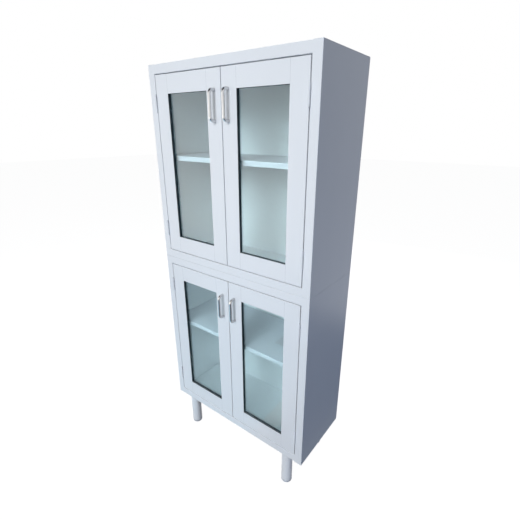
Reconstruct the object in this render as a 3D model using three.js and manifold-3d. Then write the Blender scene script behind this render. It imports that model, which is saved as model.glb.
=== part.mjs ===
// A free-standing medical cabinet of painted sheet steel: two equal modules stacked on four round
// legs, each closed by a pair of framed glass doors and divided by one shelf.
// Millimetres, +Z up. The doors face -Y. The origin is on the floor, under the middle of the
// cabinet's overall depth, so the handles in front and the back panel are equally far from it.

import * as THREE from 'three';
import { mergeVertices } from 'three/addons/utils/BufferGeometryUtils.js';
import Module from 'manifold-3d';

const wasm = await Module();
wasm.setup();

// Overall sizes
const cabinetWidth = 800;
const cabinetDepth = 340;
const moduleHeight = 810;
const legHeight = 180;

// Sheet steel, and the gaps at its joints
const sheet = 1.2;
const seamGap = 0.3;
const doorGap = 3;

// How far a cutting tool runs past the face that it cuts, and how close two corners count as one
const overcut = 1;
const weldDistance = 1e-4;

// Folds of the carcass: the face seen round the doors, and the returns behind it
const faceWidth = 35;
const jambSpare = 4;
const railSpare = 5.6;
const railLip = 10;
const backFlange = 20;

// Doors: a folded steel pan with one glazed opening
const doorThickness = 20;
const doorFrameWidth = 71;
const doorLip = 12;
const jointGrooveWidth = 0.8;
const jointGrooveDepth = 0.4;

// Glass, and the rubber channel that holds its edge behind the door's face
const glassThickness = 4;
const glassSetback = 10.5;
const glassGrip = 6;
const glassClearance = 0.3;
const gasketWall = 1.7;
const gasketLip = 2.5;
const pocketSpare = 1;

// Bow handles of bent round bar
const handleCentres = 104;
const handleReach = 25.5;
const handleBar = 12;
const handleBend = 14;
const handleDrop = 122;
const handleInset = 32;
const handleQuarter = 6;
const handleSteps = 28;

// Butt hinges with three knuckles in front of the face
const hingeLength = 68;
const hingeInset = 105;
const leafThickness = 1;
const leafSpare = 2;
const leafGap = 0.2;
const knuckleRadius = 4;
const knuckleGap = 0.5;
const knuckleSetback = 0.3;
const pinRadius = 2;
const pinClearance = 0.25;
const hingeSides = 14;

// Shelves, each a tray turned down at front and back, on a pair of angle cleats
const shelfHeight = 462;
const shelfFrontGap = 10;
const shelfClearance = 2;
const shelfLip = 20;
const shelfHem = 10;
const shelfBackLip = 18;
const cleatSize = 20;
const cleatThickness = 1.5;
const cleatEndGap = 5;

// Legs of round tube with a welded top plate, and the caps they stand on
const legRadius = 25;
const legWall = 1.5;
const legSideInset = 93;
const legFaceInset = 32;
const legPlateSize = 76;
const legPlateThickness = 3;
const legSides = 24;
const footHeight = 14;
const footRound = 7;
const footSpigot = 18;
const footRoundSteps = 4;

// Double magnetic catch under the top rail, behind the meeting edges of the doors
const catchWidth = 64;
const catchDepth = 18;
const catchHeight = 16;
const catchGap = 0.4;
const poleWidth = 18;
const poleThickness = 2;
const poleSpacing = 8;
const poleReach = 1.5;
const poleInset = 7;

// Bolts, each with its nut, that hold the upper module down on the lower one
const boltRadius = 4;
const boltClearance = 0.5;
const boltHeadRadius = 7;
const boltHeadHeight = 5.5;
const boltNutHeight = 6.5;
const boltSpacing = 420;
const boltSides = 18;
const hexagon = 6;

// Finishes
const finishes = {
  paint: { color: 0xe6eaee, roughness: 0.38, metalness: 0.0 },
  glass: { color: 0xb4d2d0, roughness: 0.05, metalness: 0.0, transparent: true, opacity: 0.35 },
  rubber: { color: 0x15181a, roughness: 0.7, metalness: 0.0 },
  chrome: { color: 0xc9ccd0, roughness: 0.12, metalness: 1.0 },
  cap: { color: 0xdadee2, roughness: 0.5, metalness: 0.0 },
  magnet: { color: 0x33363a, roughness: 0.55, metalness: 0.2 },
  zinc: { color: 0xa9adb0, roughness: 0.35, metalness: 1.0 },
};

// Sizes worked out from those above
const halfWidth = cabinetWidth / 2;
const jambDepth = doorThickness + jambSpare;
const railDepth = doorThickness + catchGap + catchDepth + railSpare;
const shelfSetback = jambDepth + shelfFrontGap;
const doorWidth = halfWidth - faceWidth - 1.5 * doorGap;
const doorHeight = moduleHeight - 2 * faceWidth - 2 * doorGap;
const openingWidth = doorWidth - 2 * doorFrameWidth;
const openingHeight = doorHeight - 2 * doorFrameWidth;
const gasketCover = glassGrip + gasketWall;
const gasketFront = sheet + seamGap;
const gasketBack = glassSetback + glassThickness + gasketLip;
const pocketCover = gasketCover + seamGap;
const hingeAxisY = -knuckleSetback - knuckleRadius;
const hingeAxisX = halfWidth - faceWidth - doorGap / 2;
const overallReach = handleReach + handleBar / 2;
const upperBase = legHeight + moduleHeight + seamGap;

// Solids that can be joined and cut

function solid(geometry) {
  const bare = geometry.index ? geometry.toNonIndexed() : geometry.clone();
  bare.deleteAttribute('normal');
  bare.deleteAttribute('uv');
  const merged = mergeVertices(bare, weldDistance);
  const mesh = new wasm.Mesh({
    numProp: 3,
    vertProperties: new Float32Array(merged.attributes.position.array),
    triVerts: new Uint32Array(merged.index.array),
  });
  return new wasm.Manifold(mesh);
}

function geometryOf(manifold) {
  const mesh = manifold.getMesh();
  const geometry = new THREE.BufferGeometry();
  geometry.setAttribute('position', new THREE.BufferAttribute(mesh.vertProperties, 3));
  geometry.setIndex(new THREE.BufferAttribute(mesh.triVerts, 1));
  geometry.computeVertexNormals();
  return geometry;
}

function join(...solids) {
  return solids.reduce((whole, next) => whole.add(next));
}

function cut(whole, ...tools) {
  return tools.reduce((rest, tool) => rest.subtract(tool), whole);
}

function box([x0, x1], [y0, y1], [z0, z1]) {
  const geometry = new THREE.BoxGeometry(Math.abs(x1 - x0), Math.abs(y1 - y0), Math.abs(z1 - z0));
  geometry.translate((x0 + x1) / 2, (y0 + y1) / 2, (z0 + z1) / 2);
  return solid(geometry);
}

function shapeOf(points) {
  return new THREE.Shape(points.map(([x, y]) => new THREE.Vector2(x, y)));
}

// An outline in plan, raised from z0 to z1
function upright(points, [z0, z1]) {
  const geometry = new THREE.ExtrudeGeometry(shapeOf(points), { depth: z1 - z0, bevelEnabled: false });
  geometry.translate(0, 0, z0);
  return solid(geometry);
}

// A section in (y, z), run along X from x0 to x1
function rail(points, [x0, x1]) {
  const geometry = new THREE.ExtrudeGeometry(shapeOf(points), { depth: x1 - x0, bevelEnabled: false });
  const turn = new THREE.Matrix4().set(0, 0, 1, x0, 1, 0, 0, 0, 0, 1, 0, 0, 0, 0, 0, 1);
  geometry.applyMatrix4(turn);
  return solid(geometry);
}

// A rectangular ring that faces the front, centred on the origin, from y0 to y1
function ring([outerWidth, outerHeight], [innerWidth, innerHeight], [y0, y1]) {
  const outer = box([-outerWidth / 2, outerWidth / 2], [y0, y1], [-outerHeight / 2, outerHeight / 2]);
  const inner = box(
    [-innerWidth / 2, innerWidth / 2],
    [y0 - overcut, y1 + overcut],
    [-innerHeight / 2, innerHeight / 2],
  );
  return cut(outer, inner);
}

function post(radius, [z0, z1], sides, x = 0, y = 0) {
  const geometry = new THREE.CylinderGeometry(radius, radius, z1 - z0, sides);
  geometry.rotateX(Math.PI / 2);
  geometry.translate(x, y, (z0 + z1) / 2);
  return solid(geometry);
}

function piece(name, finish, geometry) {
  const mesh = new THREE.Mesh(geometry, new THREE.MeshStandardMaterial(finishes[finish]));
  mesh.name = name;
  return mesh;
}

// Carcass panels, in a module's own frame: z from 0 to moduleHeight, y = 0 at the face

const innerZ = [sheet + seamGap, moduleHeight - sheet - seamGap];
const railSpan = [-halfWidth + faceWidth + seamGap, halfWidth - faceWidth - seamGap];

// A side wall with its stile, jamb and back flange, folded from one sheet
function sidePanel(side) {
  const flangeBack = cabinetDepth - sheet - seamGap;
  const flangeFront = flangeBack - sheet;
  const jambOuter = halfWidth - faceWidth + sheet;
  const outline = [
    [halfWidth, 0],
    [halfWidth, cabinetDepth],
    [halfWidth - sheet, cabinetDepth],
    [halfWidth - sheet, flangeBack],
    [halfWidth - backFlange, flangeBack],
    [halfWidth - backFlange, flangeFront],
    [halfWidth - sheet, flangeFront],
    [halfWidth - sheet, sheet],
    [jambOuter, sheet],
    [jambOuter, jambDepth],
    [halfWidth - faceWidth, jambDepth],
    [halfWidth - faceWidth, 0],
  ];
  return upright(outline.map(([x, y]) => [side * x, y]), innerZ);
}

function backPanel() {
  const half = halfWidth - sheet - seamGap;
  return box([-half, half], [cabinetDepth - sheet, cabinetDepth], innerZ);
}

// The floor or the top: a plate over the walls, and a rail folded up or down between the stiles
function endPanel(level, towards) {
  const at = (height) => level + towards * height;
  const plate = box([-halfWidth, halfWidth], [0, cabinetDepth], [at(0), at(sheet)]);
  const section = [
    [0, at(sheet / 2)],
    [0, at(faceWidth)],
    [railDepth, at(faceWidth)],
    [railDepth, at(faceWidth - railLip)],
    [railDepth - sheet, at(faceWidth - railLip)],
    [railDepth - sheet, at(faceWidth - sheet)],
    [sheet, at(faceWidth - sheet)],
    [sheet, at(sheet / 2)],
  ];
  return join(plate, rail(section, railSpan));
}

function boltHoles(level) {
  const span = [level - sheet - overcut, level + sheet + overcut];
  const hole = (x) => post(boltRadius + boltClearance, span, boltSides, x, cabinetDepth / 2);
  return [hole(-boltSpacing / 2), hole(boltSpacing / 2)];
}

// Shelf and cleats

const shelfBack = cabinetDepth - 2 * sheet - seamGap - shelfClearance;
const shelfUnder = shelfHeight - sheet;

function shelf() {
  const half = halfWidth - sheet - shelfClearance;
  const section = [
    [shelfSetback, shelfHeight],
    [shelfSetback, shelfHeight - shelfLip],
    [shelfSetback + shelfHem, shelfHeight - shelfLip],
    [shelfSetback + shelfHem, shelfHeight - shelfLip + sheet],
    [shelfSetback + sheet, shelfHeight - shelfLip + sheet],
    [shelfSetback + sheet, shelfUnder],
    [shelfBack - sheet, shelfUnder],
    [shelfBack - sheet, shelfHeight - shelfBackLip],
    [shelfBack, shelfHeight - shelfBackLip],
    [shelfBack, shelfHeight],
  ];
  return rail(section, [-half, half]);
}

function cleat(side) {
  const wall = halfWidth - sheet - seamGap;
  const top = shelfUnder - seamGap;
  const run = [shelfSetback + shelfHem + cleatEndGap, shelfBack - sheet - cleatEndGap];
  const span = (x0, x1) => [side * x0, side * x1];
  const seat = box(span(wall - cleatSize, wall), run, [top - cleatThickness, top]);
  const flange = box(span(wall - cleatThickness, wall), run, [top - cleatSize, top]);
  return join(seat, flange);
}

// Legs and feet, in the cabinet's frame, round a leg's own axis

function leg(endways) {
  const top = legHeight - seamGap;
  const plateUnder = top - legPlateThickness;
  const tubeEnd = footHeight + seamGap;
  const tube = cut(
    post(legRadius, [tubeEnd, top], legSides),
    post(legRadius - legWall, [tubeEnd - overcut, plateUnder], legSides),
  );
  const halfPlate = legPlateSize / 2;
  const plateRun = [-endways * legRadius, endways * (legPlateSize - legRadius)];
  return join(tube, box([-halfPlate, halfPlate], plateRun, [plateUnder, top]));
}

function foot() {
  const spigotRadius = legRadius - legWall - seamGap;
  const profile = [new THREE.Vector2(0, 0)];
  for (let step = 0; step <= footRoundSteps; step += 1) {
    const angle = (Math.PI / 2) * (step / footRoundSteps);
    const radius = legRadius - footRound + footRound * Math.sin(angle);
    profile.push(new THREE.Vector2(radius, footRound - footRound * Math.cos(angle)));
  }
  profile.push(new THREE.Vector2(legRadius, footHeight));
  profile.push(new THREE.Vector2(spigotRadius, footHeight));
  profile.push(new THREE.Vector2(spigotRadius, footHeight + footSpigot));
  profile.push(new THREE.Vector2(0, footHeight + footSpigot));
  const geometry = new THREE.LatheGeometry(profile, legSides);
  geometry.rotateX(Math.PI / 2);
  return solid(geometry);
}

// Doors, each in its own frame: the middle of the face at the origin, y running back

const doorOuter = [doorWidth, doorHeight];
const opening = [openingWidth, openingHeight];

function inset([width, height], by) {
  return [width - 2 * by, height - 2 * by];
}

function doorFrame() {
  const pan = join(
    ring(doorOuter, opening, [0, sheet]),
    ring(doorOuter, inset(doorOuter, sheet), [0, doorThickness]),
    ring(doorOuter, inset(doorOuter, doorLip), [doorThickness - sheet, doorThickness]),
    ring(inset(opening, -pocketCover - sheet), inset(opening, -pocketCover), [0, gasketBack + pocketSpare]),
  );
  const grooves = [];
  for (const side of [-1, 1]) {
    for (const end of [-1, 1]) {
      const x = side * (openingWidth / 2);
      grooves.push(box(
        [x, x + side * jointGrooveWidth],
        [-overcut, jointGrooveDepth],
        [end * (openingHeight / 2 - overcut), end * (doorHeight / 2 + overcut)],
      ));
    }
  }
  return cut(pan, ...grooves);
}

function gasket() {
  const body = ring(inset(opening, -gasketCover), opening, [gasketFront, gasketBack]);
  const grooveOuter = inset(opening, -glassGrip);
  const half = [grooveOuter[0] / 2, grooveOuter[1] / 2];
  const groove = box(
    [-half[0], half[0]],
    [glassSetback - glassClearance, glassSetback + glassThickness + glassClearance],
    [-half[1], half[1]],
  );
  return cut(body, groove);
}

function glass() {
  const [width, height] = inset(opening, glassClearance - glassGrip);
  return box(
    [-width / 2, width / 2],
    [glassSetback, glassSetback + glassThickness],
    [-height / 2, height / 2],
  );
}

// The centre line of a bow handle: out from the face, round a bend, down, and back
class HandleLine extends THREE.Curve {
  getPoint(t, target = new THREE.Vector3()) {
    const start = seamGap;
    const straight = handleReach - handleBend - start;
    const bend = (Math.PI / 2) * handleBend;
    const middle = handleCentres - 2 * handleBend;
    const half = handleCentres / 2;
    const whole = 2 * straight + 2 * bend + middle;
    const along = t * whole;
    const fromEnd = Math.min(along, whole - along);
    const sign = along <= whole / 2 ? 1 : -1;
    if (fromEnd <= straight) {
      return target.set(0, -start - fromEnd, sign * half);
    }
    if (fromEnd <= straight + bend) {
      const angle = (fromEnd - straight) / handleBend;
      const y = -(handleReach - handleBend) - handleBend * Math.sin(angle);
      return target.set(0, y, sign * (half - handleBend + handleBend * Math.cos(angle)));
    }
    const down = fromEnd - straight - bend;
    return target.set(0, -handleReach, sign * (half - handleBend - down));
  }
}

function handle() {
  const section = new THREE.Shape();
  section.absarc(0, 0, handleBar / 2, 0, 2 * Math.PI);
  const geometry = new THREE.ExtrudeGeometry(section, {
    extrudePath: new HandleLine(),
    steps: handleSteps,
    curveSegments: handleQuarter,
    bevelEnabled: false,
  });
  return solid(geometry);
}

// Hinges, each round its own pin at x = 0, y = 0, with the door on the +X side times side

const knuckleLength = (hingeLength - 2 * knuckleGap) / 3;
const leafOuter = doorGap / 2 - leafGap;
const leafFront = -hingeAxisY + seamGap;
const leafBack = doorThickness - hingeAxisY - leafSpare;

function leaf(side, knuckleSpans) {
  const thick = [side * (leafOuter - leafThickness), side * leafOuter];
  const plate = box(thick, [leafFront, leafBack], [-hingeLength / 2, hingeLength / 2]);
  const tongues = knuckleSpans.map((span) => box(thick, [0, leafFront], span));
  const knuckles = knuckleSpans.map((span) => post(knuckleRadius, span, hingeSides));
  return join(plate, ...tongues, ...knuckles);
}

function hingeFrameHalf(side) {
  const end = hingeLength / 2;
  const spans = [[-end, -end + knuckleLength], [end - knuckleLength, end]];
  return join(leaf(-side, spans), post(pinRadius, [-end, end], hingeSides));
}

function hingeDoorHalf(side) {
  const end = knuckleLength / 2;
  const bore = post(pinRadius + pinClearance, [-end - overcut, end + overcut], hingeSides);
  return cut(leaf(side, [[-end, end]]), bore);
}

// Catch and stack bolt

function magneticCatch() {
  const front = doorThickness + catchGap;
  const top = moduleHeight - faceWidth - seamGap;
  const body = box(
    [-catchWidth / 2, catchWidth / 2],
    [front + poleReach, front + catchDepth],
    [top - catchHeight, top],
  );
  const poles = [];
  for (const side of [-1, 1]) {
    for (const row of [0, 1]) {
      const under = top - catchHeight + poleThickness + row * poleSpacing;
      poles.push(box(
        [side * (catchWidth / 2 - poleInset), side * (catchWidth / 2 - poleInset - poleWidth)],
        [front, front + 2 * poleReach],
        [under, under + poleThickness],
      ));
    }
  }
  return join(body, ...poles);
}

// Round its own axis, with z = 0 in the seam between the two modules
function stackBolt() {
  const gripTop = seamGap / 2 + sheet + seamGap;
  const gripUnder = -gripTop;
  return join(
    post(boltRadius, [gripUnder - boltNutHeight, gripTop + boltHeadHeight], boltSides),
    post(boltHeadRadius, [gripTop, gripTop + boltHeadHeight], hexagon),
    post(boltHeadRadius, [gripUnder - boltNutHeight, gripUnder], hexagon),
  );
}

// Assembly

const sideNames = { [-1]: 'left', [1]: 'right' };

function placed(object, x, y, z) {
  object.position.set(x, y, z);
  return object;
}

function buildDoor(level, side) {
  const name = `${level}_${sideNames[side]}`;
  const door = new THREE.Group();
  door.add(piece(`${name}_door_frame`, 'paint', geometryOf(doorFrame())));
  door.add(piece(`${name}_gasket`, 'rubber', geometryOf(gasket())));
  door.add(piece(`${name}_glass`, 'glass', geometryOf(glass())));
  const bar = piece(`${name}_handle`, 'chrome', geometryOf(handle()));
  door.add(placed(bar, -side * (doorWidth / 2 - handleInset), 0, doorHeight / 2 - handleDrop));
  const centreX = side * (doorGap / 2 + doorWidth / 2);
  for (const [end, endName] of [[1, 'top'], [-1, 'bottom']]) {
    const hingeZ = end * (doorHeight / 2 - hingeInset);
    const halves = {
      frame_half: geometryOf(hingeFrameHalf(-side)),
      door_half: geometryOf(hingeDoorHalf(-side)),
    };
    for (const [half, geometry] of Object.entries(halves)) {
      const part = piece(`${name}_${endName}_hinge_${half}`, 'paint', geometry);
      door.add(placed(part, side * hingeAxisX - centreX, hingeAxisY, hingeZ));
    }
  }
  return placed(door, centreX, 0, moduleHeight / 2);
}

function buildModule(level, base) {
  const module = new THREE.Group();
  const floor = endPanel(0, 1);
  const top = endPanel(moduleHeight, -1);
  const boltedFloor = level === 'upper' ? cut(floor, ...boltHoles(0)) : floor;
  const boltedTop = level === 'lower' ? cut(top, ...boltHoles(moduleHeight)) : top;
  module.add(piece(`${level}_floor_panel`, 'paint', geometryOf(boltedFloor)));
  module.add(piece(`${level}_top_panel`, 'paint', geometryOf(boltedTop)));
  module.add(piece(`${level}_back_panel`, 'paint', geometryOf(backPanel())));
  module.add(piece(`${level}_shelf`, 'paint', geometryOf(shelf())));
  module.add(piece(`${level}_catch`, 'magnet', geometryOf(magneticCatch())));
  for (const side of [-1, 1]) {
    module.add(piece(`${level}_${sideNames[side]}_side`, 'paint', geometryOf(sidePanel(side))));
    module.add(piece(`${level}_${sideNames[side]}_cleat`, 'paint', geometryOf(cleat(side))));
    module.add(buildDoor(level, side));
  }
  return placed(module, 0, 0, base);
}

const cabinet = new THREE.Group();
cabinet.add(buildModule('lower', legHeight));
cabinet.add(buildModule('upper', upperBase));

for (const side of [-1, 1]) {
  const x = side * (halfWidth - legSideInset);
  for (const [row, endways, y] of [['front', 1, legFaceInset], ['rear', -1, cabinetDepth - legFaceInset]]) {
    const name = `${row}_${sideNames[side]}`;
    cabinet.add(placed(piece(`${name}_leg`, 'paint', geometryOf(leg(endways))), x, y, 0));
    cabinet.add(placed(piece(`${name}_foot`, 'cap', geometryOf(foot())), x, y, 0));
  }
  const bolt = piece(`${sideNames[side]}_stack_bolt`, 'zinc', geometryOf(stackBolt()));
  cabinet.add(placed(bolt, side * (boltSpacing / 2), cabinetDepth / 2, upperBase - seamGap / 2));
}

cabinet.position.y = -(cabinetDepth - overallReach) / 2;

export default cabinet;
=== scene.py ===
"""A white steel medical cabinet: two glazed modules on round legs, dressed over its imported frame."""

import math

import bmesh
import bpy
from mathutils import Matrix, Vector


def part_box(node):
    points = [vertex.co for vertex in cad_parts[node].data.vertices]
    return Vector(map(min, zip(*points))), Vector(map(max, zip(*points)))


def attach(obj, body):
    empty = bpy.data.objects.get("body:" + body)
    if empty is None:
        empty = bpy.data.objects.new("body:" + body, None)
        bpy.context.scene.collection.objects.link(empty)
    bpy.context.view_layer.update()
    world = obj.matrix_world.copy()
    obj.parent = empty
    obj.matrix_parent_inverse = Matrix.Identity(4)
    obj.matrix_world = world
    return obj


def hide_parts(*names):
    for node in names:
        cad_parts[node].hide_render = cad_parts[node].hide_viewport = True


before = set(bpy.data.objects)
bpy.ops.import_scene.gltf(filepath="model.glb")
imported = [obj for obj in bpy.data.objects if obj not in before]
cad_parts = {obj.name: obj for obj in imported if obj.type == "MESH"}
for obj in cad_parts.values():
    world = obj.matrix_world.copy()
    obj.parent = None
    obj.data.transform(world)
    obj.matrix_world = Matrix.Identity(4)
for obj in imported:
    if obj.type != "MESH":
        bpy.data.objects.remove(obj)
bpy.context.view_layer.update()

MM = 0.001
LEVELS = ("lower", "upper")
SIDES = {"left": -1, "right": 1}
QUARTER = math.pi / 2
FULL_TURN = 2 * math.pi
MERGE_DISTANCE = MM / 1000
EASE_STEPS = 2

# Sheet steel folds
SEAM = 0.3 * MM
FOLD_RADIUS = 1.5 * MM
FOLD_STEPS = 4
LEAST_FOLD = 1.0  # radians
SHEET_EDGE = 0.3 * MM
END_EASE = 0.5 * MM
LEVEL_NORMAL = 0.99  # a face whose normal is steeper than this is level
SHARP_ANGLE = math.radians(50)
JAMB_DEPTH = 24 * MM
RAIL_DEPTH = 44 * MM
RAIL_LIP = 10 * MM
BACK_FLANGE = 20 * MM
SHELF_HEM = 10 * MM
SHELF_BACK_LIP = 18 * MM
CLEAT_SHEET = 1.5 * MM
DOOR_LIP = 12 * MM

# Glazing
GLASS_GRIP = 5.7 * MM
POCKET_COVER = 8 * MM
POCKET_DEPTH = 18 * MM
GASKET_WALL = 1.7 * MM
GASKET_ROUND = 0.5 * MM
GASKET_STEPS = 3
GLASS_EDGE = 0.6 * MM
JOINT_LINE = 0.8 * MM
JOINT_PROUD = 0.04 * MM
JOINT_EDGE = 0.3 * JOINT_PROUD
JOINT_INSET = 2 * FOLD_RADIUS
CLIP_WIDTH = 14 * MM
CLIP_REACH = 6 * MM
CLIP_TAIL = 9 * MM
CLIP_SHARE = 0.3  # of the opening's height, up and down from its middle
CLIP_SEAT = 0.6 * CLIP_TAIL

# Handles and hinges
HANDLE_BEND = 14 * MM
HANDLE_SIDES = 28
BEND_STEPS = 10
KNUCKLES = 3
KNUCKLE_GAP = 0.5 * MM
KNUCKLE_ROUND = 0.5 * MM
PIN_RADIUS = 2 * MM
PIN_DOME = 0.8 * MM
LEAF_THICKNESS = 1 * MM
LEAF_OFFSET = 1.3 * MM
LEAF_EDGE = 0.2 * MM
ROUND_STEPS = 32

# Legs and feet
LEG_WALL = 1.5 * MM
LEG_WELD = 4 * MM
LEG_WELD_STEPS = 4
LEG_PLATE = 3 * MM
LEG_PLATE_EDGE = 0.8 * MM
LEG_BOLT_INSET = 9 * MM
FOOT_HEIGHT = 14 * MM
FOOT_ROUND = 7 * MM
FOOT_ARC_STEPS = 8
FOOT_SHOULDER = 1 * MM
FOOT_SHOULDER_STEPS = 3
LEG_STEPS = 48

# Magnetic catches
CATCH_EDGE = 1.2 * MM
POLE_REACH = 1.5 * MM
POLE_DEPTH = 3 * MM
POLE_THICKNESS = 2 * MM
POLE_WIDTH = 18 * MM
POLE_INSET = 7 * MM
POLE_RISES = (2 * MM, 10 * MM)
POLE_EDGE = 0.3 * MM
CATCH_SCREW_OFFSET = 4 * MM
CATCH_SCREW_RADIUS = 2.6 * MM
CATCH_SCREW_HEAD = 1.6 * MM

# Fasteners
BOLT_RADIUS = 5 * MM
BOLT_HEAD = 4 * MM
BOLT_WASHER = 1.2 * BOLT_RADIUS
STACK_GRIP = 1.8 * MM
STACK_WASHER = 1.35  # times the bolt head's radius
HANDLE_WASHER = 8 * MM
WASHER_THICKNESS = 1.2 * MM
WASHER_EDGE = 0.3 * WASHER_THICKNESS
SCREW_RADIUS = 4 * MM
SCREW_HEAD = 2.4 * MM
CLIP_SCREW_RADIUS = 0.6 * SCREW_RADIUS
CLIP_SCREW_HEAD = 0.6 * SCREW_HEAD
RIVET_RADIUS = 3 * MM
RIVET_HEAD = 1.2 * MM
RIVET_DROP = 2 * MM
RIVET_SHARES = (0.1, 0.5, 0.9)  # of a cleat's length
HEXAGON = 6
HEXAGON_CHAMFER = 0.12  # of the head's radius
# A domed head from its crown to its seat, in shares of its radius and height
DOME_PROFILE = ((0, 1), (0.55, 0.92), (0.85, 0.6), (1, 0.15), (1, 0), (0, 0))

# The view: where the camera stands, how it is turned, and its lens, given in the picture's pixels
FACE_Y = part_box("lower_left_side")[0].y
IMAGE_SIDE = 520
CAMERA_PLACE = Vector((0.9548, FACE_Y - 0.9960, 1.5570))
CAMERA_YAW = math.radians(36.576)
CAMERA_PITCH = math.radians(20.560)
CAMERA_ROLL = math.radians(0.427)
CAMERA_FOCUS = 351.18
CAMERA_CENTRE = (268.76, 262.26)
FILM_WIDTH = 36
NEAR_CLIP = 0.01


# Shaping

def verts_of(made):
    return [part for part in made["geom"] if isinstance(part, bmesh.types.BMVert)]


def edges_among(verts):
    chosen = set(verts)
    return list({edge for vert in verts for edge in vert.link_edges if set(edge.verts) <= chosen})


def draw_out(bm, edges, by):
    """Pulls a run of edges out into a strip of sheet, and gives the strip's far edges."""
    made = bmesh.ops.extrude_edge_only(bm, edges=edges)
    verts = verts_of(made)
    bmesh.ops.translate(bm, verts=verts, vec=by)
    return edges_among(verts)


def line_of(bm, points):
    verts = [bm.verts.new(point) for point in points]
    return [bm.edges.new(pair) for pair in zip(verts, verts[1:])]


def folded_strip(bm, points, run):
    """A strip of sheet folded at each inner point of a line, as wide as run."""
    draw_out(bm, line_of(bm, points), run)


def ease(bm, edges, width, steps, clamp=False):
    """Rounds edges off by a width."""
    bmesh.ops.bevel(
        bm,
        geom=edges,
        offset=width,
        segments=steps,
        profile=0.5,
        affect="EDGES",
        clamp_overlap=clamp,
        material=-1,
    )


def round_folds(bm):
    inner = [edge for edge in bm.edges if len(edge.link_faces) == 2]
    folds = [edge for edge in inner if edge.calc_face_angle(0) > LEAST_FOLD]
    ease(bm, folds, FOLD_RADIUS, FOLD_STEPS)


def block(bm, low, high, edge):
    """A rectangular block between two corners, with its edges eased."""
    low, high = Vector(low), Vector(high)
    size = high - low
    place = Matrix.Translation((low + high) / 2) @ Matrix.Diagonal((*size, 1))
    made = bmesh.ops.create_cube(bm, size=1, matrix=place)
    ease(bm, edges_among(made["verts"]), edge, EASE_STEPS)


def turned(bm, profile, place=Matrix.Identity(4), steps=ROUND_STEPS):
    """A profile of (radius, height) points turned once round the Z axis, then put in its place."""
    before = set(bm.verts)
    edges = line_of(bm, [(radius, 0, height) for radius, height in profile])
    verts = list({vert for edge in edges for vert in edge.verts})
    bmesh.ops.spin(
        bm,
        geom=verts + edges,
        cent=(0, 0, 0),
        axis=(0, 0, 1),
        angle=FULL_TURN,
        steps=steps,
        use_merge=True,
    )
    fresh = [vert for vert in bm.verts if vert not in before]
    bmesh.ops.remove_doubles(bm, verts=fresh, dist=MERGE_DISTANCE)
    fresh = [vert for vert in bm.verts if vert not in before]
    bmesh.ops.recalc_face_normals(bm, faces=list({face for vert in fresh for face in vert.link_faces}))
    bmesh.ops.transform(bm, matrix=place, verts=fresh)


def swept_ring(bm, section, low, high):
    """A closed section of (inward, depth) points run round an upright rectangle, mitred at its corners."""
    corners = (
        (low.x, low.z, 1, 1),
        (high.x, low.z, -1, 1),
        (high.x, high.z, -1, -1),
        (low.x, high.z, 1, -1),
    )
    loops = []
    for x, z, right, up in corners:
        points = [(x + right * inward, low.y + depth, z + up * inward) for inward, depth in section]
        verts = [bm.verts.new(point) for point in points]
        loops.append([bm.edges.new(pair) for pair in zip(verts, verts[1:] + verts[:1])])
    for here, there in zip(loops, loops[1:] + loops[:1]):
        bmesh.ops.bridge_loops(bm, edges=here + there)
    bmesh.ops.recalc_face_normals(bm, faces=bm.faces[:])


def facing(point, direction):
    """The place of a turned piece whose axis points along direction."""
    turn = Vector((0, 0, 1)).rotation_difference(Vector(direction))
    return Matrix.Translation(point) @ turn.to_matrix().to_4x4()


def arc(centre_radius, centre_height, radius, start, end, steps):
    """Points of an arc in a profile, from one angle to another."""
    angles = [start + (end - start) * step / steps for step in range(steps + 1)]
    return [(centre_radius + radius * math.cos(a), centre_height + radius * math.sin(a)) for a in angles]


def dome_head(bm, point, direction, radius, height):
    """A low domed head of a screw or a rivet, standing on a surface."""
    profile = [(across * radius, up * height) for across, up in DOME_PROFILE]
    turned(bm, profile, facing(point, direction))


def chamfered_disc(bm, point, direction, radius, height, chamfer, steps=ROUND_STEPS):
    """A disc, or a prism when it has few steps, with a chamfer round its top."""
    profile = [(0, height), (radius - chamfer, height), (radius, height - chamfer), (radius, 0), (0, 0)]
    turned(bm, profile, facing(point, direction), steps)


def hexagon_head(bm, point, direction, radius, height):
    """A bolt head or nut with six flats."""
    chamfered_disc(bm, point, direction, radius, height, HEXAGON_CHAMFER * radius, HEXAGON)


def washer(bm, point, direction, radius):
    chamfered_disc(bm, point, direction, radius, WASHER_THICKNESS, WASHER_EDGE)


# Finishing a piece

def smooth_rounds(mesh):
    """Rounds are shaded smooth, and true edges stay crisp."""
    mesh.shade_smooth()
    mesh.set_sharp_from_angle(angle=SHARP_ANGLE)


def new_piece(name, bm, body, finish, *nodes):
    """Turns a shape into a piece that rides on a body and stands for the given nodes."""
    slot, material = finish
    mesh = bpy.data.meshes.new(name)
    bm.to_mesh(mesh)
    bm.free()
    smooth_rounds(mesh)
    piece = bpy.data.objects.new(name, mesh)
    bpy.context.collection.objects.link(piece)
    mesh.materials.append(material)
    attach(piece, body)
    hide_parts(*nodes)
    return piece


def flatten_normals(piece):
    flat = piece.modifiers.new("flat_faces", "WEIGHTED_NORMAL")
    flat.keep_sharp = True
    return piece


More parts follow.
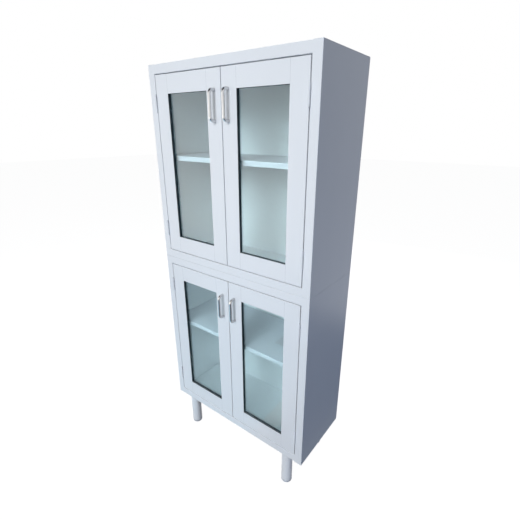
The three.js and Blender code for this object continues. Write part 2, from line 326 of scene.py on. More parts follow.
def sheet_piece(name, bm, body, finish, thickness, *nodes):
    """A piece of sheet, drawn as its middle surface and given its thickness here."""
    bmesh.ops.recalc_face_normals(bm, faces=bm.faces[:])
    piece = new_piece(name, bm, body, finish, *nodes)
    wall = piece.modifiers.new("sheet_thickness", "SOLIDIFY")
    wall.thickness = thickness
    wall.offset = 0
    wall.use_even_offset = True
    thin = piece.data
    shaped = piece.evaluated_get(bpy.context.evaluated_depsgraph_get())
    piece.data = bpy.data.meshes.new_from_object(shaped)
    piece.modifiers.remove(wall)
    bpy.data.meshes.remove(thin)
    piece.data.name = name
    smooth_rounds(piece.data)
    return flatten_normals(piece)


def ease_ends(piece):
    """Takes the sharpness off the level cut ends of an upright sheet, so that a seam there shows."""
    bm = bmesh.new()
    bm.from_mesh(piece.data)
    level = {face for face in bm.faces if abs(face.normal.z) > LEVEL_NORMAL}
    rims = [edge for edge in bm.edges if sum(face in level for face in edge.link_faces) == 1]
    ease(bm, rims, END_EASE, EASE_STEPS, clamp=True)
    bm.to_mesh(piece.data)
    bm.free()
    smooth_rounds(piece.data)


def solid_piece(name, bm, body, finish, *nodes):
    flatten_normals(new_piece(name, bm, body, finish, *nodes))


# Shader groups shared by the finishes

WHITE = (1, 1, 1, 1)
MIX_COLOUR_INPUTS = (0, 6, 7)  # the share and the two colours of a mix node
MIX_COLOUR_OUTPUT = 2
# Each a range of noise or of slope, and the range it becomes
MOTTLE_RANGE = (0.3, 0.7, 0.0, 1.0)
DUST_SLOPE = (0.6, 1.0, 0.0, 1.0)
DUST_PATCHES = (0.3, 0.75, 0.25, 1.0)
DUST_PATCH_SIZE = 22.0
WANDER_SIZE = 14.0
NOISE_MEAN = 0.5


def feed(tree, socket, value):
    """Gives a socket what it takes: a link from another socket, or a plain value."""
    if isinstance(value, bpy.types.NodeSocket):
        tree.links.new(value, socket)
    else:
        socket.default_value = value


def shader_group(name, inputs, outputs):
    """An empty shader group with named sockets: (name, kind, default) in, (name, kind) out."""
    group = bpy.data.node_groups.new(name, "ShaderNodeTree")
    for label, kind, value in inputs:
        socket = group.interface.new_socket(label, in_out="INPUT", socket_type=kind)
        socket.default_value = value
    for label, kind in outputs:
        group.interface.new_socket(label, in_out="OUTPUT", socket_type=kind)
    return group, group.nodes.new("NodeGroupInput"), group.nodes.new("NodeGroupOutput")


def noise(tree, scale, detail, roughness=0.55):
    """A noise texture on Object coordinates."""
    texture = tree.nodes.new("ShaderNodeTexNoise")
    tree.links.new(tree.nodes.new("ShaderNodeTexCoord").outputs["Object"], texture.inputs["Vector"])
    texture.inputs["Detail"].default_value = detail
    texture.inputs["Roughness"].default_value = roughness
    feed(tree, texture.inputs["Scale"], scale)
    return texture.outputs["Fac"]


def arithmetic(tree, operation, *values):
    node = tree.nodes.new("ShaderNodeMath")
    node.operation = operation
    for socket, value in zip(node.inputs, values):
        feed(tree, socket, value)
    return node.outputs["Value"]


def ranged(tree, value, low, high, to_low, to_high):
    """A value taken from the range between low and high to another range, and held at its ends."""
    node = tree.nodes.new("ShaderNodeMapRange")
    labels = ("Value", "From Min", "From Max", "To Min", "To Max")
    for label, part in zip(labels, (value, low, high, to_low, to_high)):
        feed(tree, node.inputs[label], part)
    return node.outputs["Result"]


def blended(tree, share, first, second, blend="MIX"):
    """A mix of two colours by a share from 0 to 1."""
    node = tree.nodes.new("ShaderNodeMix")
    node.data_type = "RGBA"
    node.blend_type = blend
    for place, value in zip(MIX_COLOUR_INPUTS, (share, first, second)):
        feed(tree, node.inputs[place], value)
    return node.outputs[MIX_COLOUR_OUTPUT]


def mixed_shader(tree, share, first, second):
    node = tree.nodes.new("ShaderNodeMixShader")
    for socket, value in zip(node.inputs, (share, first, second)):
        tree.links.new(value, socket)
    return node.outputs["Shader"]


def make_mottle():
    """Slow uneven tone, as a coat of paint or a moulding has: a darker colour in soft patches."""
    inputs = (
        ("Colour", "NodeSocketColor", WHITE),
        ("Depth", "NodeSocketFloat", 0.05),
        ("Size", "NodeSocketFloat", 3.0),
    )
    group, source, sink = shader_group("mottle", inputs, (("Colour", "NodeSocketColor"),))
    slow = noise(group, source.outputs["Size"], 3)
    mask = ranged(group, slow, *MOTTLE_RANGE)
    dark = arithmetic(group, "SUBTRACT", 1.0, arithmetic(group, "MULTIPLY", mask, source.outputs["Depth"]))
    colour = blended(group, 1.0, source.outputs["Colour"], dark, "MULTIPLY")
    group.links.new(colour, sink.inputs["Colour"])
    return group


def make_dust():
    """A thin film of dust on faces that look up, uneven at the scale of a hand."""
    inputs = (
        ("Colour", "NodeSocketColor", WHITE),
        ("Dust", "NodeSocketColor", (0.55, 0.54, 0.52, 1)),
        ("Amount", "NodeSocketFloat", 0.2),
    )
    group, source, sink = shader_group("dust", inputs, (("Colour", "NodeSocketColor"),))
    normal = group.nodes.new("ShaderNodeSeparateXYZ")
    group.links.new(group.nodes.new("ShaderNodeNewGeometry").outputs["Normal"], normal.inputs[0])
    upward = ranged(group, normal.outputs["Z"], *DUST_SLOPE)
    patches = ranged(group, noise(group, DUST_PATCH_SIZE, 5), *DUST_PATCHES)
    film = arithmetic(group, "MULTIPLY", upward, patches)
    film = arithmetic(group, "MULTIPLY", film, source.outputs["Amount"])
    colour = blended(group, film, source.outputs["Colour"], source.outputs["Dust"])
    group.links.new(colour, sink.inputs["Colour"])
    return group


def make_grain():
    """Fine surface texture: a height for bump and a roughness that wanders a little."""
    inputs = (
        ("Size", "NodeSocketFloat", 700.0),
        ("Roughness", "NodeSocketFloat", 0.4),
        ("Wander", "NodeSocketFloat", 0.08),
    )
    outputs = (("Height", "NodeSocketFloat"), ("Roughness", "NodeSocketFloat"))
    group, source, sink = shader_group("grain", inputs, outputs)
    fine = noise(group, source.outputs["Size"], 2, 0.5)
    slow = arithmetic(group, "SUBTRACT", noise(group, WANDER_SIZE, 4), NOISE_MEAN)
    shift = arithmetic(group, "MULTIPLY", slow, source.outputs["Wander"])
    group.links.new(fine, sink.inputs["Height"])
    group.links.new(arithmetic(group, "ADD", source.outputs["Roughness"], shift), sink.inputs["Roughness"])
    return group


MOTTLE = make_mottle()
DUST = make_dust()
GRAIN = make_grain()


# Finishes

def placed_group(tree, group, **values):
    node = tree.nodes.new("ShaderNodeGroup")
    node.node_tree = group
    for label, value in values.items():
        feed(tree, node.inputs[label], value)
    return node.outputs


def new_material(name):
    """A material with nodes, and its tree."""
    material = bpy.data.materials.new(name)
    material.use_nodes = True
    return material, material.node_tree


def make_finish(name, slot, colour, tone, dust, grain, bump, own=()):
    """A finish with uneven tone (depth, size), dust, fine grain (size, roughness, wander) and bump
    (strength, distance), and with the shader's own values; gives its slot name and material."""
    material, tree = new_material(name)
    shader = tree.nodes["Principled BSDF"]
    toned = placed_group(tree, MOTTLE, Colour=(*colour, 1), Depth=tone[0], Size=tone[1])
    dusted = placed_group(tree, DUST, Colour=toned["Colour"], Amount=dust)
    grained = placed_group(tree, GRAIN, Size=grain[0], Roughness=grain[1], Wander=grain[2])
    tree.links.new(dusted["Colour"], shader.inputs["Base Color"])
    tree.links.new(grained["Roughness"], shader.inputs["Roughness"])
    relief = tree.nodes.new("ShaderNodeBump")
    relief.inputs["Strength"].default_value = bump[0]
    relief.inputs["Distance"].default_value = bump[1]
    tree.links.new(grained["Height"], relief.inputs["Height"])
    tree.links.new(relief.outputs["Normal"], shader.inputs["Normal"])
    for label, value in own:
        shader.inputs[label].default_value = value
    return slot, material


def make_paint(name, colour):
    """White powder coat with a faint orange peel, a little blue in the white."""
    return make_finish(
        name,
        "white_paint",
        colour,
        tone=(0.04, 1.6),
        dust=0.12,
        grain=(650, 0.36, 0.10),
        bump=(0.12, 0.1 * MM),
        own=[("IOR", 1.5)],
    )


GLASS_TINT = (0.85, 0.985, 0.99)
GLASS_SHADE = (0.63, 0.68, 0.70)


def make_glass():
    """Clear sheet glass with a pale blue-green body and faint wiping marks; lamps shine through it."""
    material, tree = new_material("clear_glass")
    shader = tree.nodes["Principled BSDF"]
    toned = placed_group(tree, MOTTLE, Colour=(*GLASS_TINT, 1), Depth=0.04, Size=5.0)
    wiped = placed_group(tree, GRAIN, Size=40.0, Roughness=0.012, Wander=0.03)
    tree.links.new(toned["Colour"], shader.inputs["Base Color"])
    tree.links.new(arithmetic(tree, "MAXIMUM", wiped["Roughness"], 0.0), shader.inputs["Roughness"])
    shader.inputs["IOR"].default_value = 1.5
    shader.inputs["Transmission Weight"].default_value = 1.0
    clear = tree.nodes.new("ShaderNodeBsdfTransparent")
    clear.inputs["Color"].default_value = (*GLASS_SHADE, 1)
    shadow = tree.nodes.new("ShaderNodeLightPath").outputs["Is Shadow Ray"]
    either = mixed_shader(tree, shadow, shader.outputs["BSDF"], clear.outputs["BSDF"])
    tree.links.new(either, tree.nodes["Material Output"].inputs["Surface"])
    return "clear_glass", material


PAINT = make_paint("white_powder_coat", (0.88, 0.90, 0.925))
# The shelves take the same white coat made greyer and bluer: painted shade that dims their lit front edges
SHELF_SHADED_PAINT = make_paint("shelf_coat_painted_shade", (0.75, 0.755, 0.82))
# The same coat made darker for the hairline of a welded joint: painted shade of the hairline
JOINT_SHADE_PAINT = make_finish(
    "joint_painted_shade",
    "white_paint",
    (0.68, 0.70, 0.73),
    tone=(0.2, 40),
    dust=0.0,
    grain=(900, 0.55, 0.10),
    bump=(0.2, 0.1 * MM),
)
RUBBER = make_finish(
    "black_rubber",
    "black_rubber",
    (0.050, 0.072, 0.088),
    tone=(0.3, 30),
    dust=0.15,
    grain=(1500, 0.62, 0.15),
    bump=(0.3, 0.1 * MM),
    own=[("Specular IOR Level", 0.35)],
)
CHROME = make_finish(
    "bright_chrome",
    "bright_chrome",
    (0.66, 0.66, 0.67),
    tone=(0.10, 60),
    dust=0.0,
    grain=(260, 0.10, 0.10),
    bump=(0.02, 0.05 * MM),
    own=[("Metallic", 1.0)],
)
ZINC = make_finish(
    "zinc_plate",
    "zinc_plate",
    (0.60, 0.62, 0.64),
    tone=(0.25, 120),
    dust=0.05,
    grain=(1800, 0.36, 0.20),
    bump=(0.15, 0.05 * MM),
    own=[("Metallic", 1.0)],
)
FOOT_PLASTIC = make_finish(
    "foot_plastic",
    "foot_plastic",
    (0.66, 0.69, 0.74),
    tone=(0.18, 45),
    dust=0.1,
    grain=(1400, 0.48, 0.15),
    bump=(0.25, 0.1 * MM),
)
CATCH_PLASTIC = make_finish(
    "catch_plastic",
    "catch_plastic",
    (0.045, 0.047, 0.05),
    tone=(0.2, 60),
    dust=0.2,
    grain=(1600, 0.5, 0.12),
    bump=(0.3, 0.1 * MM),
)
GLASS = make_glass()


# Carcass

def sheet_of(level):
    low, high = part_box(f"{level}_back_panel")
    return high.y - low.y


def build_side(level, side):
    """A wall with its stile and jamb, folded from one sheet, and the flange that takes the back panel."""
    node = f"{level}_{side}_side"
    low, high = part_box(node)
    out = SIDES[side]
    sheet = sheet_of(level)
    half = sheet / 2
    outer = high.x if out > 0 else low.x
    inner = low.x if out > 0 else high.x
    wall_x = outer - out * half
    jamb_x = inner + out * half
    foot_z, run = low.z - SEAM, Vector((0, 0, high.z - low.z + 2 * SEAM))
    bm = bmesh.new()
    corners = (
        (wall_x, high.y),
        (wall_x, low.y + half),
        (jamb_x, low.y + half),
        (jamb_x, low.y + JAMB_DEPTH),
    )
    folded_strip(bm, [(x, y, foot_z) for x, y in corners], run)
    round_folds(bm)
    flange_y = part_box(f"{level}_back_panel")[0].y - SEAM - half
    flange = [(outer - out * sheet, flange_y, foot_z), (outer - out * BACK_FLANGE, flange_y, foot_z)]
    folded_strip(bm, flange, run)
    ease_ends(sheet_piece(f"{node}_sheet", bm, "carcass", PAINT, sheet, node))


def build_back(level):
    node = f"{level}_back_panel"
    low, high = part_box(node)
    bm = bmesh.new()
    block(bm, low, high, SHEET_EDGE)
    solid_piece(f"{node}_sheet", bm, "carcass", PAINT, node)


def build_end(level, end, towards):
    """The floor or the top of a module: a plate, and the rail folded from it between the stiles."""
    node = f"{level}_{end}_panel"
    low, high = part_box(node)
    sheet = sheet_of(level)
    half = sheet / 2
    plate_z, rail_z = (low.z + half, high.z - half) if towards > 0 else (high.z - half, low.z + half)
    rail_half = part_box(f"{level}_right_side")[0].x + FOLD_RADIUS
    section = (
        (high.y, plate_z),
        (low.y + half, plate_z),
        (low.y + half, rail_z),
        (low.y + RAIL_DEPTH - half, rail_z),
        (low.y + RAIL_DEPTH - half, rail_z - towards * (RAIL_LIP - half)),
    )
    bm = bmesh.new()
    folded_strip(bm, [(-rail_half, y, z) for y, z in section], Vector((2 * rail_half, 0, 0)))
    round_folds(bm)
    for out in SIDES.values():
        inner, outer = (out * rail_half, low.y, plate_z), (out * high.x, low.y, plate_z)
        folded_strip(bm, (inner, outer), Vector((0, high.y - low.y, 0)))
    sheet_piece(f"{node}_sheet", bm, "carcass", PAINT, sheet, node)


def build_shelf(level):
    node = f"{level}_shelf"
    low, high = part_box(node)
    sheet = sheet_of(level)
    half = sheet / 2
    bm = bmesh.new()
    section = (
        (low.y + SHELF_HEM, low.z + half),
        (low.y + half, low.z + half),
        (low.y + half, high.z - half),
        (high.y - half, high.z - half),
        (high.y - half, high.z - SHELF_BACK_LIP),
    )
    folded_strip(bm, [(low.x, y, z) for y, z in section], Vector((high.x - low.x, 0, 0)))
    round_folds(bm)
    # The shelf's coat is the darker copy of the white paint, painted shade
    sheet_piece(f"{node}_sheet", bm, "carcass", SHELF_SHADED_PAINT, sheet, node)


def build_cleat(level, side):
    """An angle under the end of the shelf, held to the wall by rivets."""
    node = f"{level}_{side}_cleat"
    low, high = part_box(node)
    out = SIDES[side]
    half = CLEAT_SHEET / 2
    wall_x = high.x - half if out > 0 else low.x + half
    edge_x = low.x if out > 0 else high.x
    bm = bmesh.new()
    section = ((edge_x, high.z - half), (wall_x, high.z - half), (wall_x, low.z))
    folded_strip(bm, [(x, low.y, z) for x, z in section], Vector((0, high.y - low.y, 0)))
    round_folds(bm)
    sheet_piece(f"{node}_angle", bm, "carcass", PAINT, CLEAT_SHEET, node)
    bm = bmesh.new()
    for share in RIVET_SHARES:
        y = low.y + share * (high.y - low.y)
        point = (wall_x - out * half, y, (low.z + high.z) / 2 - RIVET_DROP)
        dome_head(bm, point, (-out, 0, 0), RIVET_RADIUS, RIVET_HEAD)
    solid_piece(f"{node}_rivets", bm, "carcass", PAINT)


def build_catch(level):
    """A double magnetic catch: a moulded body with two pairs of steel poles and two screws."""
    node = f"{level}_catch"
    low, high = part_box(node)
    bm = bmesh.new()
    block(bm, (low.x, low.y + POLE_REACH, low.z), high, CATCH_EDGE)
    solid_piece(f"{node}_body", bm, "carcass", CATCH_PLASTIC, node)
    bm = bmesh.new()
    x, y = (low.x + high.x) / 2, (low.y + high.y) / 2
    far = high.x - x - POLE_INSET
    for out in SIDES.values():
        ends = sorted((x + out * far, x + out * (far - POLE_WIDTH)))
        for under in (low.z + rise for rise in POLE_RISES):
            top = under + POLE_THICKNESS
            block(bm, (ends[0], low.y, under), (ends[1], low.y + POLE_DEPTH, top), POLE_EDGE)
        seat = (x + out * CATCH_SCREW_OFFSET, y, low.z)
        dome_head(bm, seat, (0, 0, -1), CATCH_SCREW_RADIUS, CATCH_SCREW_HEAD)
    solid_piece(f"{node}_poles", bm, "carcass", ZINC)


def build_stack_bolt(side):
    """A bolt head with its washer above the seam, and a nut with its washer below."""
    node = f"{side}_stack_bolt"
    low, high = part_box(node)
    middle = (low + high) / 2
    bm = bmesh.new()
    radius = (high.x - low.x) / 2
    for towards, end in ((1, high.z), (-1, low.z)):
        face = Vector((middle.x, middle.y, middle.z + towards * STACK_GRIP))
        washer(bm, face, (0, 0, towards), STACK_WASHER * radius)
        face.z += towards * WASHER_THICKNESS
        hexagon_head(bm, face, (0, 0, towards), radius, abs(end - face.z))
    solid_piece(f"{node}_set", bm, "carcass", ZINC, node)


# Legs

def build_leg(row, side):
    """A tube welded to its plate, the cap it stands on, and the bolts through the plate."""
    name = f"{row}_{side}"
    low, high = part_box(f"{name}_leg")
    foot_low, foot_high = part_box(f"{name}_foot")
    centre = (foot_low + foot_high) / 2
    radius = (foot_high.x - foot_low.x) / 2
    plate_z = high.z - LEG_PLATE
    axis = Matrix.Translation((centre.x, centre.y, 0))
    bm = bmesh.new()
    weld = arc(radius + LEG_WELD, plate_z - LEG_WELD, LEG_WELD, math.pi, QUARTER, LEG_WELD_STEPS)
    tube = [(radius - LEG_WALL, low.z), (radius, low.z)] + weld
    turned(bm, tube + [(radius - LEG_WALL, plate_z), (radius - LEG_WALL, low.z)], axis, LEG_STEPS)
    block(bm, (low.x, low.y, plate_z), high, LEG_PLATE_EDGE)
    solid_piece(f"{name}_leg_tube", bm, "carcass", PAINT, f"{name}_leg")

    bm = bmesh.new()
    sole = arc(radius - FOOT_ROUND, FOOT_ROUND, FOOT_ROUND, -QUARTER, 0, FOOT_ARC_STEPS)
    ease_at = (radius - FOOT_SHOULDER, FOOT_HEIGHT - FOOT_SHOULDER)
    shoulder = arc(*ease_at, FOOT_SHOULDER, 0, QUARTER, FOOT_SHOULDER_STEPS)
    spigot = radius - LEG_WALL - SEAM
    stem = [(spigot, FOOT_HEIGHT), (spigot, foot_high.z), (0, foot_high.z)]
    turned(bm, [(0, 0)] + sole + shoulder + stem, axis, LEG_STEPS)
    solid_piece(f"{name}_foot_cap", bm, "carcass", FOOT_PLASTIC, f"{name}_foot")

    bm = bmesh.new()
    floor_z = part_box("lower_floor_panel")[0].z + sheet_of("lower")
    for x in (low.x + LEG_BOLT_INSET, high.x - LEG_BOLT_INSET):
        for y in (low.y + LEG_BOLT_INSET, high.y - LEG_BOLT_INSET):
            for face, towards in ((plate_z, -1), (floor_z, 1)):
                away = (0, 0, towards)
                washer(bm, (x, y, face), away, BOLT_WASHER)
                seat = (x, y, face + towards * WASHER_THICKNESS)
                hexagon_head(bm, seat, away, BOLT_RADIUS, BOLT_HEAD)
    solid_piece(f"{name}_leg_bolts", bm, "carcass", ZINC)


# Doors

def opening_of(door):
    """The lowest and highest corner of a door's glazed opening."""
    low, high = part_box(f"{door}_glass")
    grip = Vector((GLASS_GRIP, 0, GLASS_GRIP))
    return low + grip, high - grip


def door_sheet(door):
    """The thickness of a door's sheet, which is that of its module."""
    return sheet_of(door.split("_")[0])


def upright_loop(bm, low, high, y):
    """The four edges of an upright rectangle."""
    corners = ((low.x, low.z), (high.x, low.z), (high.x, high.z), (low.x, high.z))
    verts = [bm.verts.new((x, y, z)) for x, z in corners]
    return [bm.edges.new(pair) for pair in zip(verts, verts[1:] + verts[:1])]


def build_door_frame(door, body):
    """A pan with its edges folded back and in, and the upright wall of the glazing pocket."""
    node = f"{door}_door_frame"
    low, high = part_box(node)
    open_low, open_high = opening_of(door)
    sheet = door_sheet(door)
    half = Vector((sheet / 2, sheet / 2, sheet / 2))
    bm = bmesh.new()
    rim = upright_loop(bm, low + half, high - half, low.y + half.y)
    wall = draw_out(bm, rim, (0, high.y - low.y - sheet, 0))
    lip = draw_out(bm, wall, (0, 0, 0))
    middle = (low + high) / 2
    size = high - low
    lip_verts = list({vert for edge in lip for vert in edge.verts})
    shrink = [1 - 2 * (DOOR_LIP - half.x) / (side - sheet) for side in (size.x, size.z)]
    about_middle = Matrix.Translation(-middle)
    bmesh.ops.scale(bm, verts=lip_verts, vec=(shrink[0], 1, shrink[1]), space=about_middle)
    hole = upright_loop(bm, open_low, open_high, low.y + half.y)
    bmesh.ops.bridge_loops(bm, edges=rim + hole)
    round_folds(bm)
    cover = Vector((POCKET_COVER + half.x, 0, POCKET_COVER + half.z))
    pocket = upright_loop(bm, open_low - cover, open_high + cover, low.y + sheet)
    draw_out(bm, pocket, (0, POCKET_DEPTH - sheet, 0))
    sheet_piece(f"{node}_pan", bm, body, PAINT, sheet, node)


def build_joint_lines(door, body):
    """Hairlines where the stiles of a door meet its rails: thin strips a little proud of the face, in a
    darker coat that is painted shade.
    """
    low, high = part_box(f"{door}_door_frame")
    open_low, open_high = opening_of(door)
    bm = bmesh.new()
    for x in (open_low.x - JOINT_LINE, open_high.x):
        for under, top in ((low.z + JOINT_INSET, open_low.z), (open_high.z, high.z - JOINT_INSET)):
            near = (x, low.y - JOINT_PROUD, under)
            block(bm, near, (x + JOINT_LINE, low.y + JOINT_PROUD, top), JOINT_EDGE)
    solid_piece(f"{door}_door_joint_lines", bm, body, JOINT_SHADE_PAINT)


def build_gasket(door, body):
    """A rubber channel round the glass, with rounded lips in front of it and behind it."""
    node = f"{door}_gasket"
    low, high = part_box(node)
    glass_low, glass_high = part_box(f"{door}_glass")
    depth = high.y - low.y
    wall = GASKET_WALL
    width = wall + GLASS_GRIP + SEAM
    groove_front = glass_low.y - low.y - SEAM
    groove_back = glass_high.y - low.y + SEAM
    lip = GASKET_ROUND
    section = (
        [(0, 0)]
        + arc(width - lip, lip, lip, -QUARTER, 0, GASKET_STEPS)
        + [(width, groove_front), (wall, groove_front), (wall, groove_back), (width, groove_back)]
        + arc(width - lip, depth - lip, lip, 0, QUARTER, GASKET_STEPS)
        + [(0, depth)]
    )
    bm = bmesh.new()
    swept_ring(bm, section, low, high)
    solid_piece(f"{node}_channel", bm, body, RUBBER, node)


def build_glass(door, body):
    node = f"{door}_glass"
    low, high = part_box(node)
    bm = bmesh.new()
    block(bm, low, high, GLASS_EDGE)
    solid_piece(f"{node}_pane", bm, body, GLASS, node)


def build_clips(door, body):
    """Folded steel clips, screwed to the pocket's wall, that keep the glass in from behind."""
    open_low, open_high = opening_of(door)
    pan_low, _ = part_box(f"{door}_door_frame")
    sheet = door_sheet(door)
    back = pan_low.y + POCKET_DEPTH + sheet / 2
    outside = POCKET_COVER + sheet + sheet / 2
    height = open_high.z - open_low.z
    middle = (open_low + open_high) / 2
    across, up = Vector((1, 0, 0)), Vector((0, 0, 1))
    bm = bmesh.new()
    screws = bmesh.new()
    places = []
    for out in SIDES.values():
        corner = open_high if out > 0 else open_low
        for share in (-CLIP_SHARE, CLIP_SHARE):
            places.append((Vector((corner.x, 0, middle.z + share * height)), out * across, up))
        places.append((Vector((middle.x, 0, corner.z)), out * up, across))
    for at, outward, along in places:
        start = at - along * CLIP_WIDTH / 2
        tail = start + outward * outside + Vector((0, back - CLIP_TAIL, 0))
        bend = start + outward * outside + Vector((0, back, 0))
        tip = start + outward * (POCKET_COVER - CLIP_REACH) + Vector((0, back, 0))
        folded_strip(bm, (tail, bend, tip), along * CLIP_WIDTH)
        seat = at + outward * (outside + sheet / 2) + Vector((0, back - CLIP_SEAT, 0))
        dome_head(screws, seat, outward, CLIP_SCREW_RADIUS, CLIP_SCREW_HEAD)
    round_folds(bm)
    sheet_piece(f"{door}_glass_clips", bm, body, ZINC, sheet)
    solid_piece(f"{door}_clip_screws", screws, body, ZINC)


def build_handle(door, body):
    """A bow of round bar, and behind the door's face the screws and washers that hold it."""
    node = f"{door}_handle"
    low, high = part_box(node)
    pan_low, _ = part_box(f"{door}_door_frame")
    radius = (high.x - low.x) / 2
    x = (low.x + high.x) / 2
    bar_y = low.y + radius
    top, bottom = high.z - radius, low.z + radius
    straight = pan_low.y - bar_y - HANDLE_BEND
    bm = bmesh.new()
    start = Matrix.Translation((x, pan_low.y, top)) @ Matrix.Rotation(QUARTER, 4, "X")
    ring = bmesh.ops.create_circle(bm, segments=HANDLE_SIDES, radius=radius, matrix=start)
    loop = draw_out(bm, edges_among(ring["verts"]), (0, -straight, 0))
    bends = (
        (top - HANDLE_BEND, (0, 0, bottom - top + 2 * HANDLE_BEND)),
        (bottom + HANDLE_BEND, (0, straight, 0)),
    )
    for z, onward in bends:
        centre = (x, bar_y + HANDLE_BEND, z)
        bent = bmesh.ops.spin(bm, geom=loop, cent=centre, axis=(1, 0, 0), angle=QUARTER, steps=BEND_STEPS)
        loop = [part for part in bent["geom_last"] if isinstance(part, bmesh.types.BMEdge)]
        loop = draw_out(bm, loop, onward)
    bmesh.ops.holes_fill(bm, edges=[edge for edge in bm.edges if edge.is_boundary])
    bmesh.ops.recalc_face_normals(bm, faces=bm.faces[:])
    solid_piece(f"{node}_bar", bm, body, CHROME, node)

    bm = bmesh.new()
    back = pan_low.y + door_sheet(door)
    for z in (top, bottom):
        washer(bm, (x, back, z), (0, 1, 0), HANDLE_WASHER)
        dome_head(bm, (x, back + WASHER_THICKNESS, z), (0, 1, 0), SCREW_RADIUS, SCREW_HEAD)
    solid_piece(f"{node}_screws", bm, body, ZINC)


def knuckle(bm, x, y, low_z, high_z, radius):
    """A rolled knuckle of a hinge, with eased ends."""
    inner = radius - KNUCKLE_ROUND
    profile = [(0, low_z), (inner, low_z), (radius, low_z + KNUCKLE_ROUND)]
    profile += [(radius, high_z - KNUCKLE_ROUND), (inner, high_z), (0, high_z)]
    turned(bm, profile, Matrix.Translation((x, y, 0)))


def build_hinge(door, end, side, body):
    """A butt hinge: a leaf with one knuckle on the door, and on the frame one with two and the pin."""
    node = f"{door}_{end}_hinge"
    low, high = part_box(f"{node}_frame_half")
    radius = (high.x - low.x) / 2
    x, y = (low.x + high.x) / 2, low.y + radius
    length = (high.z - low.z - (KNUCKLES - 1) * KNUCKLE_GAP) / KNUCKLES
    feet = [low.z + step * (length + KNUCKLE_GAP) for step in range(KNUCKLES)]
    spans = [(foot, foot + length) for foot in feet]
    leaf_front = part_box(f"{door}_door_frame")[0].y + SEAM
    halves = (
        ("frame_half", "carcass", SIDES[side], spans[::2]),
        ("door_half", body, -SIDES[side], spans[1::2]),
    )
    for half, rides_on, out, rolled in halves:
        bm = bmesh.new()
        faces = sorted((x + out * (LEAF_OFFSET - LEAF_THICKNESS), x + out * LEAF_OFFSET))
        block(bm, (faces[0], leaf_front, low.z), (faces[1], high.y, high.z), LEAF_EDGE)
        for under, top in rolled:
            block(bm, (faces[0], y, under), (faces[1], leaf_front + SEAM, top), LEAF_EDGE)
            knuckle(bm, x, y, under, top, radius)
        if half == "frame_half":
            for tip, direction in ((high.z, 1), (low.z, -1)):
                dome_head(bm, (x, y, tip), (0, 0, direction), PIN_RADIUS, PIN_DOME)
        solid_piece(f"{node}_{half}_leaf", bm, rides_on, PAINT, f"{node}_{half}")


def build_door(level, side):
    door = f"{level}_{side}"
    body = f"{door}_door"
    build_door_frame(door, body)
    build_joint_lines(door, body)
    build_gasket(door, body)
    build_glass(door, body)
    build_clips(door, body)
    build_handle(door, body)
    for end in ("top", "bottom"):
        build_hinge(door, end, side, body)


for level in LEVELS:
    build_back(level)
    build_end(level, "floor", 1)
    build_end(level, "top", -1)
    build_shelf(level)
    build_catch(level)
    for side in SIDES:
        build_side(level, side)
        build_cleat(level, side)
        build_door(level, side)
for side in SIDES:
    build_stack_bolt(side)
    for row in ("front", "rear"):
        build_leg(row, side)


# Floor, light and view

SKY = (0.82, 0.92, 1.0, 1)
SKY_LIGHT = 0.10
FLOOR_SIDE = 40.0
FLOOR_GREY = (0.09, 0.09, 0.095, 1)
FLOOR_GLOW = 0.97
NO_BOUNCE = 0.5  # a count of bounces below this is none
DIM = (0.14, 0.16, 0.21, 1)
# Soft lamps: place, the point each one faces, width and height, watts, colour
LAMPS = {
    "window_lamp": ((0.70, -6.40, 3.90), (0.0, 0.0, 0.90), (4.2, 3.0), 362, (0.94, 0.955, 0.965)),
    "high_lamp": ((0.30, -3.20, 3.90), (0.0, 0.0, 0.90), (1.2, 0.7), 3, (0.94, 0.97, 1.0)),
    "low_lamp": ((0.20, -2.40, 0.90), (0.0, 0.0, 0.85), (1.6, 1.0), 7, (0.30, 0.56, 1.0)),
    "side_lamp": ((2.80, 0.10, 0.90), (0.4, 0.0, 0.80), (1.2, 1.2), 6, (0.20, 0.42, 1.0)),
    "left_lamp": ((-3.40, 1.00, 1.50), (-0.4, 0.1, 0.95), (1.6, 1.6), 52, (0.94, 0.97, 1.0)),
    "back_lamp": ((-0.70, 3.60, 1.60), (-0.1, 0.2, 0.95), (1.6, 1.8), 62, (0.94, 0.97, 1.0)),
    "top_lamp": ((-0.20, 0.50, 4.60), (-0.1, 0.2, 1.80), (1.0, 1.0), 46, (0.94, 0.97, 1.0)),
}
# Level cards that only shiny surfaces mirror: place, width and depth, glow
CARDS = {
    "right_floor_card": ((1.60, -1.65, 0.01), (3.0, 2.7), DIM),
    "front_floor_card": ((-0.15, -1.75, 0.01), (0.5, 1.4), DIM),
    "side_floor_card": ((1.00, 0.60, 0.01), (1.1, 1.6), DIM),
    "left_floor_card": ((-1.85, 0.0, 0.01), (1.15, 1.5), DIM),
    "near_floor_card": ((-1.10, -0.97, 0.008), (2.2, 1.55), (0.95, 1.4, 1.65, 1)),
    "window_sill_card": ((-2.60, -2.6, 0.012), (3.5, 0.8), (2.7, 2.7, 2.7, 1)),
    "ceiling_card": ((0.0, -1.2, 3.4), (4.0, 3.0), (0.10, 0.10, 0.11, 1)),
}
# An upright card at the left that the panes mirror: place, width and height, glow low down and at its top
WINDOW_CARD = ((-2.75, -3.0, 1.2), (3.4, 2.4), 2.85, 1.9)
WINDOW_COLOUR = (1.0, 0.985, 0.94, 1)
WINDOW_FADE_FROM = 0.7  # the height up to which the card keeps its low glow


def seen_directly(tree):
    """1 on rays from the camera, and on those that came by way of metal or glass alone."""
    path = tree.nodes.new("ShaderNodeLightPath").outputs
    seen = arithmetic(tree, "MAXIMUM", path["Is Camera Ray"], path["Is Glossy Ray"])
    seen = arithmetic(tree, "MAXIMUM", seen, path["Is Transmission Ray"])
    straight = arithmetic(tree, "LESS_THAN", path["Diffuse Depth"], NO_BOUNCE)
    return arithmetic(tree, "MULTIPLY", seen, straight)


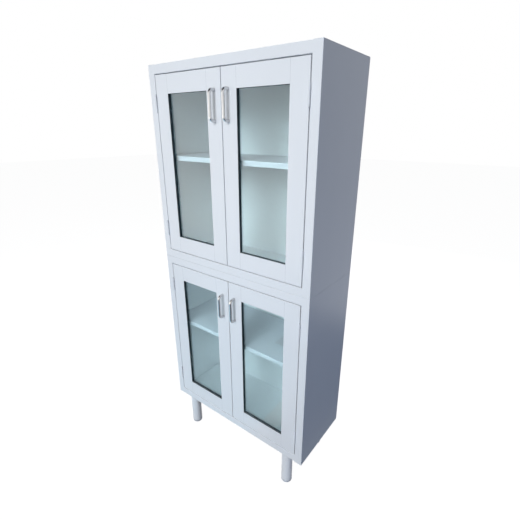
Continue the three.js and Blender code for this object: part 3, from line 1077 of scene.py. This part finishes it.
def build_world():
    world = bpy.data.worlds.new("pale_studio")
    world.use_nodes = True
    tree = world.node_tree
    sky = tree.nodes["Background"]
    sky.inputs["Color"].default_value = SKY
    sky.inputs["Strength"].default_value = SKY_LIGHT
    backdrop = tree.nodes.new("ShaderNodeBackground")
    backdrop.inputs["Color"].default_value = WHITE
    lights = sky.outputs["Background"], backdrop.outputs["Background"]
    either = mixed_shader(tree, seen_directly(tree), *lights)
    tree.links.new(either, tree.nodes["World Output"].inputs["Surface"])
    bpy.context.scene.world = world


def flat_square(name, material, place):
    """A square with sides of one metre, put in its place, which may stretch it."""
    bm = bmesh.new()
    bmesh.ops.create_grid(bm, x_segments=1, y_segments=1, size=0.5, matrix=place)
    mesh = bpy.data.meshes.new(name)
    bm.to_mesh(mesh)
    bm.free()
    mesh.materials.append(material)
    square = bpy.data.objects.new(name, mesh)
    bpy.context.collection.objects.link(square)
    return square


def build_floor():
    """A pale floor that meets the white backdrop and keeps the cabinet's shadow."""
    material, tree = new_material("pale_floor")
    shader = tree.nodes["Principled BSDF"]
    shader.inputs["Base Color"].default_value = FLOOR_GREY
    shader.inputs["Roughness"].default_value = 1.0
    shader.inputs["Specular IOR Level"].default_value = 0.0
    shader.inputs["Emission Color"].default_value = WHITE
    glow = arithmetic(tree, "MULTIPLY", seen_directly(tree), FLOOR_GLOW)
    tree.links.new(glow, shader.inputs["Emission Strength"])
    floor = flat_square("floor", material, Matrix.Diagonal((FLOOR_SIDE, FLOOR_SIDE, 1, 1)))


def build_lamps():
    """Soft lamps, out of the camera's sight; only the high one is mirrored in metal and glass."""
    for name, (place, aim, (width, height), watts, colour) in LAMPS.items():
        lamp = bpy.data.lights.new(name, "AREA")
        lamp.shape = "RECTANGLE"
        lamp.size, lamp.size_y = width, height
        lamp.energy = watts
        lamp.color = colour
        holder = bpy.data.objects.new(name, lamp)
        holder.location = place
        holder.rotation_euler = (Vector(place) - Vector(aim)).to_track_quat("Z", "Y").to_euler()
        holder.visible_camera = False
        holder.visible_glossy = name == "high_lamp"
        holder.visible_transmission = name == "window_lamp"
        bpy.context.collection.objects.link(holder)


def build_card(name, place):
    """A flat glowing card that is seen only in reflections; gives its material's nodes and its light."""
    material, tree = new_material(name)
    light = tree.nodes.new("ShaderNodeEmission")
    tree.links.new(light.outputs["Emission"], tree.nodes["Material Output"].inputs["Surface"])
    card = flat_square(name, material, place)
    for ray in ("camera", "diffuse", "transmission", "shadow", "volume_scatter"):
        setattr(card, f"visible_{ray}", False)
    return tree, light


def build_cards():
    for name, (place, (width, depth), glow) in CARDS.items():
        _, light = build_card(name, Matrix.Translation(place) @ Matrix.Diagonal((width, depth, 1, 1)))
        light.inputs["Color"].default_value = glow
    place, (width, height), foot, top = WINDOW_CARD
    upright = Matrix.Translation(place) @ Matrix.Rotation(QUARTER, 4, "X")
    tree, light = build_card("window_card", upright @ Matrix.Diagonal((width, height, 1, 1)))
    parts = tree.nodes.new("ShaderNodeSeparateXYZ")
    tree.links.new(tree.nodes.new("ShaderNodeTexCoord").outputs["Object"], parts.inputs[0])
    fade = ranged(tree, parts.outputs["Z"], WINDOW_FADE_FROM, place[2] + height / 2, foot, top)
    tree.links.new(fade, light.inputs["Strength"])
    light.inputs["Color"].default_value = WINDOW_COLOUR


def build_camera():
    lens = bpy.data.cameras.new("view")
    lens.sensor_width = FILM_WIDTH
    lens.lens = CAMERA_FOCUS / IMAGE_SIDE * FILM_WIDTH
    lens.shift_x = (IMAGE_SIDE / 2 - CAMERA_CENTRE[0]) / IMAGE_SIDE
    lens.shift_y = (CAMERA_CENTRE[1] - IMAGE_SIDE / 2) / IMAGE_SIDE
    lens.clip_start = NEAR_CLIP
    camera = bpy.data.objects.new("view", lens)
    turn = Matrix.Rotation(CAMERA_YAW, 4, "Z") @ Matrix.Rotation(QUARTER - CAMERA_PITCH, 4, "X")
    camera.matrix_world = Matrix.Translation(CAMERA_PLACE) @ turn @ Matrix.Rotation(CAMERA_ROLL, 4, "Z")
    bpy.context.collection.objects.link(camera)
    bpy.context.scene.camera = camera


build_world()
build_floor()
build_lamps()
build_cards()
build_camera()
bpy.context.scene.view_settings.view_transform = "Standard"
